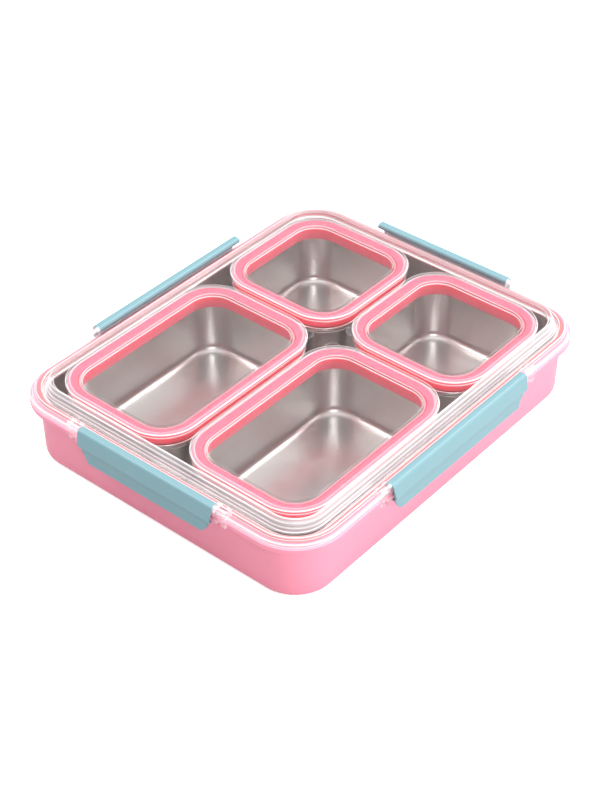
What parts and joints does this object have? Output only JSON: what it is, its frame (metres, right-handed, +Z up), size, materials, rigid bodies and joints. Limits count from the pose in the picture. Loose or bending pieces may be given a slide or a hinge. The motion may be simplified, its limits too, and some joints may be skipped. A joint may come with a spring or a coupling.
{
  "type": "tiffin carrier",
  "caption": "Flat insulated lunch carrier: drafted case with steel liner, lidded steel food containers and a clear outer lid held by hinged snap latches.",
  "frame": {"origin": "middle of the case's underside, on the table", "axes": "+X along the length of the case, +Y across it towards the back long side, +Z up out of the lid"},
  "size_m": [0.2888, 0.2368, 0.053],
  "materials": {
    "case_plastic": "satin moulded polypropylene",
    "liner_steel": "pressed stainless sheet",
    "clear_lid": "clear moulded plastic",
    "red_silicone": "soft moulded silicone",
    "latch_plastic": "satin moulded plastic",
    "bowl_steel": "brushed stainless sheet",
    "collar_plastic": "glossy moulded plastic",
    "clear_cover": "clear moulded plastic",
    "white_silicone": "soft translucent silicone"
  },
  "bodies": {
    "case": {"base_case": "case_plastic", "steel_liner": "liner_steel"},
    "lid": {"outer_lid": "clear_lid", "lid_seal": "red_silicone"},
    "latch_front_body": {"latch_front": "latch_plastic"},
    "latch_right_body": {"latch_right": "latch_plastic"},
    "latch_back_body": {"latch_back": "latch_plastic"},
    "latch_left_body": {"latch_left": "latch_plastic"},
    "container_rear_left": {"bowl_rear_left": "bowl_steel", "collar_rear_left": "collar_plastic"},
    "container_lid_rear_left": {"cover_rear_left": "clear_cover", "gasket_rear_left": "white_silicone"},
    "container_front_left": {"bowl_front_left": "bowl_steel", "collar_front_left": "collar_plastic"},
    "container_lid_front_left": {"cover_front_left": "clear_cover", "gasket_front_left": "white_silicone"},
    "container_rear_right": {"bowl_rear_right": "bowl_steel", "collar_rear_right": "collar_plastic"},
    "container_lid_rear_right": {"cover_rear_right": "clear_cover", "gasket_rear_right": "white_silicone"},
    "container_front_right": {"bowl_front_right": "bowl_steel", "collar_front_right": "collar_plastic"},
    "container_lid_front_right": {"cover_front_right": "clear_cover", "gasket_front_right": "white_silicone"}
  },
  "joints": [
    {"name": "lid_lift", "type": "slide", "parent": "case", "child": "lid", "axis": [0, 0, 1], "range_m": [0, 0.16]},
    {"name": "latch_front_hinge", "type": "hinge", "parent": "lid", "child": "latch_front_body", "pos_m": [0, -0.1127, 0.0477], "axis": [-1, 0, 0], "range_deg": [0, 105]},
    {"name": "latch_right_hinge", "type": "hinge", "parent": "lid", "child": "latch_right_body", "pos_m": [0.1387, 0, 0.0477], "axis": [0, -1, 0], "range_deg": [0, 105]},
    {"name": "latch_back_hinge", "type": "hinge", "parent": "lid", "child": "latch_back_body", "pos_m": [0, 0.1127, 0.0477], "axis": [1, 0, 0], "range_deg": [0, 105]},
    {"name": "latch_left_hinge", "type": "hinge", "parent": "lid", "child": "latch_left_body", "pos_m": [-0.1387, 0, 0.0477], "axis": [0, 1, 0], "range_deg": [0, 105]},
    {"name": "container_rear_left_lift", "type": "slide", "parent": "case", "child": "container_rear_left", "axis": [0, 0, 1], "range_m": [0, 0.08]},
    {"name": "container_lid_rear_left_lift", "type": "slide", "parent": "container_rear_left", "child": "container_lid_rear_left", "axis": [0, 0, 1], "range_m": [0, 0.04]},
    {"name": "container_front_left_lift", "type": "slide", "parent": "case", "child": "container_front_left", "axis": [0, 0, 1], "range_m": [0, 0.08]},
    {"name": "container_lid_front_left_lift", "type": "slide", "parent": "container_front_left", "child": "container_lid_front_left", "axis": [0, 0, 1], "range_m": [0, 0.04]},
    {"name": "container_rear_right_lift", "type": "slide", "parent": "case", "child": "container_rear_right", "axis": [0, 0, 1], "range_m": [0, 0.08]},
    {"name": "container_lid_rear_right_lift", "type": "slide", "parent": "container_rear_right", "child": "container_lid_rear_right", "axis": [0, 0, 1], "range_m": [0, 0.04]},
    {"name": "container_front_right_lift", "type": "slide", "parent": "case", "child": "container_front_right", "axis": [0, 0, 1], "range_m": [0, 0.08]},
    {"name": "container_lid_front_right_lift", "type": "slide", "parent": "container_front_right", "child": "container_lid_front_right", "axis": [0, 0, 1], "range_m": [0, 0.04]}
  ],
  "couplings": [
    {"joint": "container_rear_left_lift", "follows": "lid_lift", "ratio": 0.5},
    {"joint": "container_lid_rear_left_lift", "follows": "lid_lift", "ratio": 0.25},
    {"joint": "container_front_left_lift", "follows": "lid_lift", "ratio": 0.5},
    {"joint": "container_lid_front_left_lift", "follows": "lid_lift", "ratio": 0.25},
    {"joint": "container_rear_right_lift", "follows": "lid_lift", "ratio": 0.5},
    {"joint": "container_lid_rear_right_lift", "follows": "lid_lift", "ratio": 0.25},
    {"joint": "container_front_right_lift", "follows": "lid_lift", "ratio": 0.5},
    {"joint": "container_lid_front_right_lift", "follows": "lid_lift", "ratio": 0.25}
  ]
}
